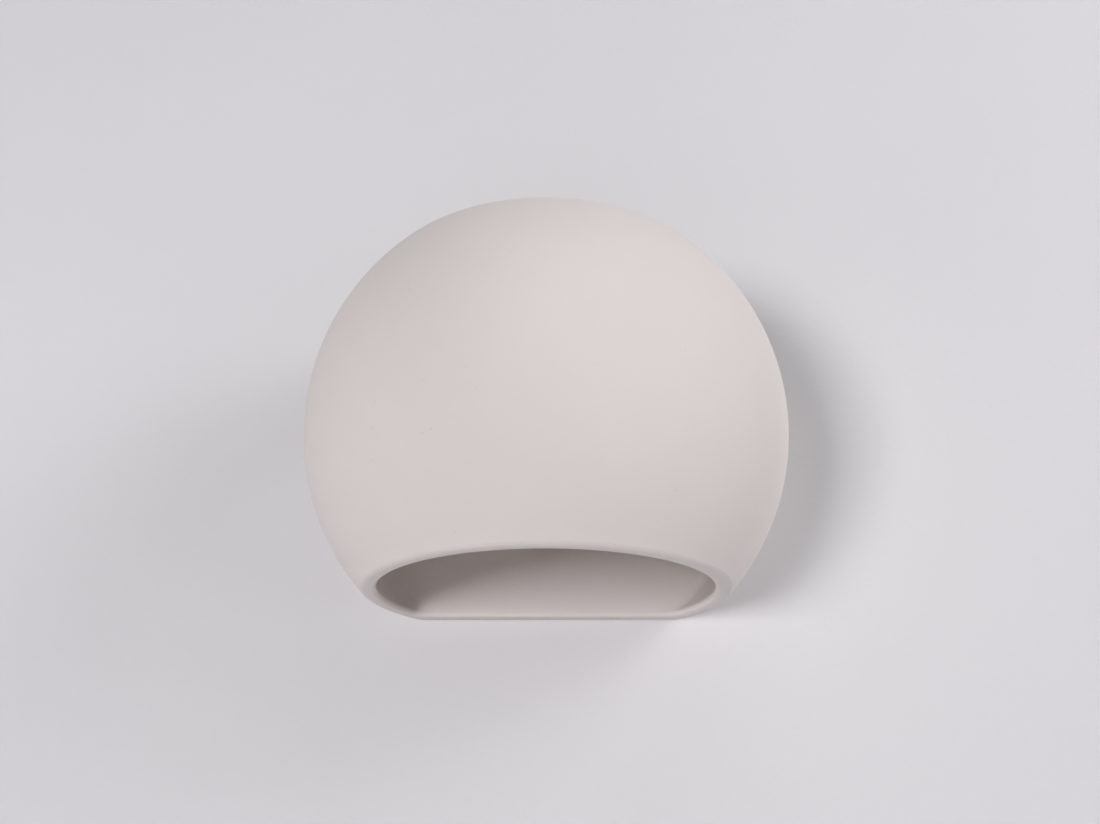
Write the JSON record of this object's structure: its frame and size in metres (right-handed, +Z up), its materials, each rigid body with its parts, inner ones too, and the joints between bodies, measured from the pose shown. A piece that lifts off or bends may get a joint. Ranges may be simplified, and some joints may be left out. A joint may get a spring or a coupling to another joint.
{
  "type": "up and down wall light",
  "caption": "Ball-shaped matte ceramic wall light, cut level and open above and below, on a steel wall bracket with an arm-mounted lampholder and lamp.",
  "frame": {"origin": "on the wall plane, midway between the wall bracket's two slots", "axes": "+Z up, +X to the right along the wall, -Y out into the room"},
  "size_m": [0.26, 0.188, 0.18],
  "materials": {
    "bisque_ceramic": "matte unglazed, warm white",
    "washer_fibre": "matte vulcanised fibre",
    "nickel_nut": "satin nickel plate on brass",
    "zinc_plate": "satin zinc plate",
    "zinc_fastener": "bright zinc plate",
    "brass_fitting": "plain brass",
    "tinned_tag": "tin plate",
    "black_rubber": "matte",
    "cream_nylon": "satin, slightly translucent",
    "brown_lead": "satin flexible insulation",
    "blue_lead": "satin flexible insulation",
    "green_yellow_lead": "satin flexible insulation",
    "holder_plastic": "satin moulded white",
    "porcelain": "glazed white",
    "nickel_sheet": "bright sheet",
    "spring_bronze": "plain spring bronze",
    "opal_bulb": "satin opal",
    "lamp_board": "white coated board",
    "lamp_plastic": "satin moulded white",
    "black_glass": "polished opaque black",
    "tin_tip": "dull tin"
  },
  "bodies": {
    "wall_bracket": {"wall_bracket_strip": "zinc_plate", "lampholder_arm": "zinc_plate", "fixing_stud_upper": "zinc_fastener", "fixing_stud_lower": "zinc_fastener", "arm_screws": "zinc_fastener", "spring_washers": "zinc_fastener", "earth_screw": "brass_fitting", "earth_cup_washer": "brass_fitting", "earth_ring_tag": "tinned_tag", "cable_grommet": "black_rubber", "lead_bush": "black_rubber", "terminal_housing": "cream_nylon", "terminal_clamps": "brass_fitting", "terminal_screws": "zinc_fastener", "terminal_fixing_screws": "zinc_fastener", "live_lead": "brown_lead", "neutral_lead": "blue_lead", "earth_lead": "green_yellow_lead", "lampholder_nipple": "zinc_fastener", "nipple_lock_washer": "zinc_fastener", "nipple_locknut": "zinc_fastener", "lampholder_cap": "holder_plastic", "lampholder_insert": "porcelain", "lampholder_terminals": "brass_fitting", "lampholder_terminal_screws": "zinc_fastener", "thread_sleeve": "nickel_sheet", "centre_contact": "spring_bronze", "side_contact": "spring_bronze"},
    "shade": {"ceramic_shade": "bisque_ceramic", "fibre_washers": "washer_fibre"},
    "upper_nut": {"fixing_nut_upper": "nickel_nut"},
    "lower_nut": {"fixing_nut_lower": "nickel_nut"},
    "holder_skirt": {"lampholder_skirt": "holder_plastic"},
    "lamp": {"lamp_globe": "opal_bulb", "lamp_board": "lamp_board", "lamp_housing": "lamp_plastic", "lamp_cap_shell": "nickel_sheet", "lamp_cap_insulator": "black_glass", "lamp_cap_contact": "tin_tip"}
  },
  "joints": [
    {"name": "shade_lift_off", "type": "slide", "parent": "wall_bracket", "child": "shade", "axis": [0, -1, 0], "range_m": [0, 0.12]},
    {"name": "upper_nut_turn", "type": "hinge", "parent": "shade", "child": "upper_nut", "pos_m": [0, -0.014, 0.044], "axis": [0, -1, 0], "range_deg": [0, 3340]},
    {"name": "lower_nut_turn", "type": "hinge", "parent": "shade", "child": "lower_nut", "pos_m": [0, -0.014, -0.044], "axis": [0, -1, 0], "range_deg": [0, 3340]},
    {"name": "skirt_turn", "type": "hinge", "parent": "wall_bracket", "child": "holder_skirt", "pos_m": [-0.018, -0.058, 0], "axis": [1, 0, 0], "range_deg": [0, 1080]},
    {"name": "lamp_turn", "type": "hinge", "parent": "wall_bracket", "child": "lamp", "pos_m": [0, -0.058, 0], "axis": [1, 0, 0], "range_deg": [0, 1440]}
  ]
}
